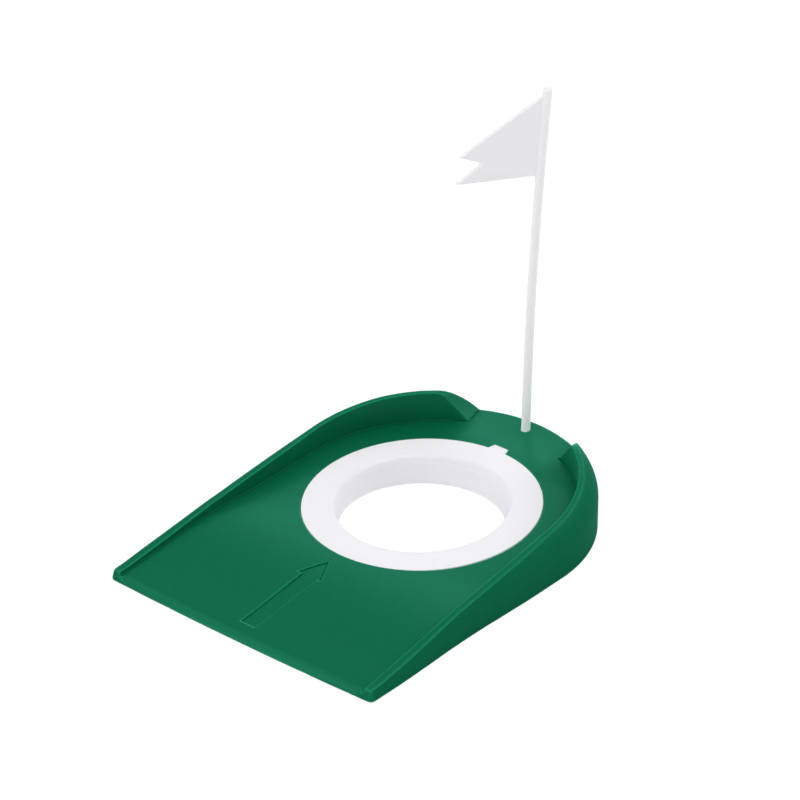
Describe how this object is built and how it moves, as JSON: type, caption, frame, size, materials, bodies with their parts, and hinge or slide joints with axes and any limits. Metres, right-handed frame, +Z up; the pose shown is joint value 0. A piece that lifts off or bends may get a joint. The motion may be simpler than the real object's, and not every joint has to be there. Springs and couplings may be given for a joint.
{
  "type": "putting cup",
  "caption": "Practice putting cup: ramped tray with rising side rails, a lift-out ring lining the ball hole, and a lift-out flagstick with a swallow-tailed flag in a socket behind it.",
  "frame": {"origin": "on the ground, in the middle of the footprint of tray and leaning flagstick together", "axes": "+Z up, +Y the way the ball rolls, from the ramp's front lip to the flagstick, +X to the right of a player facing the hole"},
  "size_m": [0.133, 0.1864, 0.1635],
  "materials": {
    "green_plastic": "satin moulded plastic",
    "white_plastic": "satin moulded plastic"
  },
  "bodies": {
    "tray_body": {"tray": "green_plastic"},
    "ring_body": {"ring_insert": "white_plastic"},
    "flagstick_body": {"flagstick": "white_plastic"}
  },
  "joints": [
    {"name": "ring_lift", "type": "slide", "parent": "tray_body", "child": "ring_body", "axis": [0, 0, 1], "range_m": [0, 0.032]},
    {"name": "flagstick_lift", "type": "slide", "parent": "tray_body", "child": "flagstick_body", "axis": [0, 0.0698, 0.9976], "range_m": [0, 0.03]}
  ]
}
